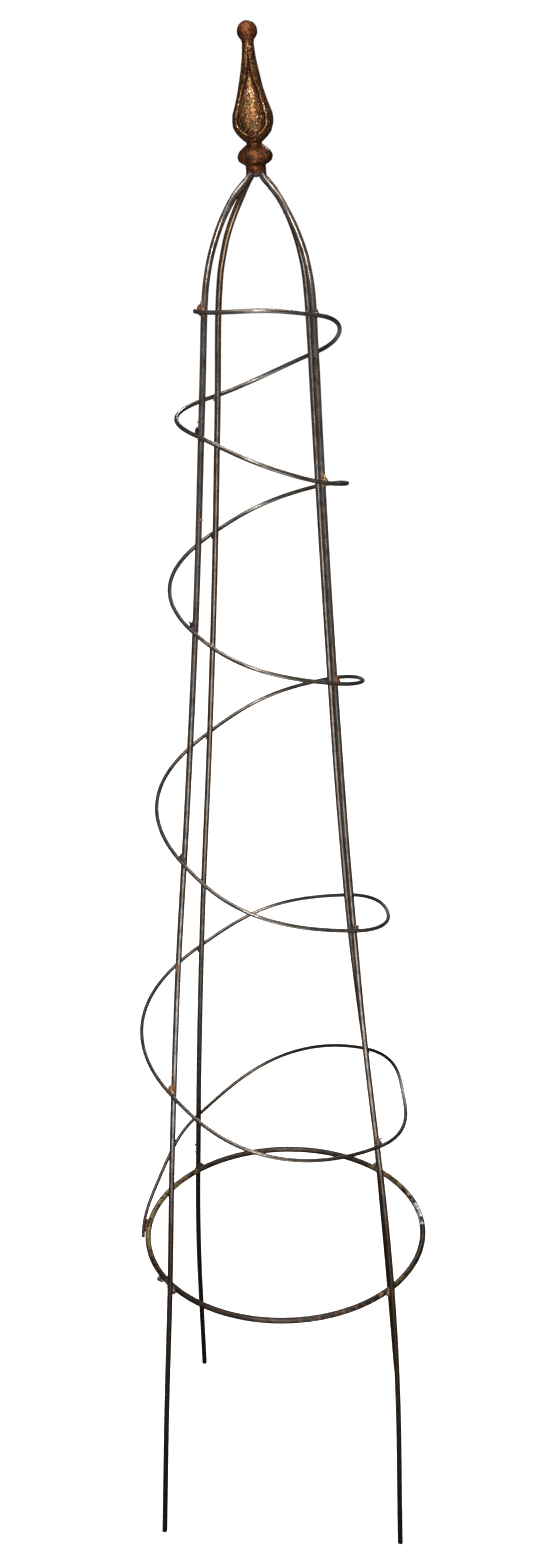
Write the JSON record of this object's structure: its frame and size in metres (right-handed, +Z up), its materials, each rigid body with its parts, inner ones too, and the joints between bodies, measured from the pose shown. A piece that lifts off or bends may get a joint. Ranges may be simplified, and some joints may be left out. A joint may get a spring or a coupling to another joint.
{
  "type": "garden obelisk",
  "caption": "Tall pointed plant support: bent steel rods meet under a cast finial, with a base ring and a wire spiral welded round them.",
  "frame": {"origin": "on the ground, below the middle of the bounding box", "axes": "+Z up along the obelisk, -Y towards the front, +X to the viewer's right when facing the front"},
  "size_m": [0.3146, 0.3306, 1.5668],
  "materials": {
    "leg_steel": "dull purple-brown mill scale with rust near the welds",
    "ring_steel": "golden brown rust and black scale",
    "spiral_steel": "grey-brown scale with worn highlights",
    "finial_casting": "rusty casting, orange-brown with golden flecks",
    "weld_metal": "rusty weld beads with bright specks"
  },
  "bodies": {
    "root": {"base_ring": "ring_steel", "finial": "finial_casting", "leg_back_left": "leg_steel", "leg_back_right": "leg_steel", "leg_front_left": "leg_steel", "leg_front_right": "leg_steel", "ring_weld_back_left": "weld_metal", "ring_weld_back_right": "weld_metal", "ring_weld_front_left": "weld_metal", "ring_weld_front_right": "weld_metal", "socket_weld_1": "weld_metal", "socket_weld_2": "weld_metal", "socket_weld_3": "weld_metal", "socket_weld_4": "weld_metal", "spiral_end_weld": "weld_metal", "spiral_weld_01": "weld_metal", "spiral_weld_02": "weld_metal", "spiral_weld_03": "weld_metal", "spiral_weld_04": "weld_metal", "spiral_weld_05": "weld_metal", "spiral_weld_06": "weld_metal", "spiral_weld_07": "weld_metal", "spiral_weld_08": "weld_metal", "spiral_weld_09": "weld_metal", "spiral_weld_10": "weld_metal", "spiral_weld_11": "weld_metal", "spiral_weld_12": "weld_metal", "spiral_weld_13": "weld_metal", "spiral_weld_14": "weld_metal", "spiral_weld_15": "weld_metal", "spiral_weld_16": "weld_metal", "spiral_weld_17": "weld_metal", "spiral_weld_18": "weld_metal", "spiral_weld_19": "weld_metal", "spiral_weld_20": "weld_metal", "spiral_wire": "spiral_steel"}
  },
  "joints": []
}
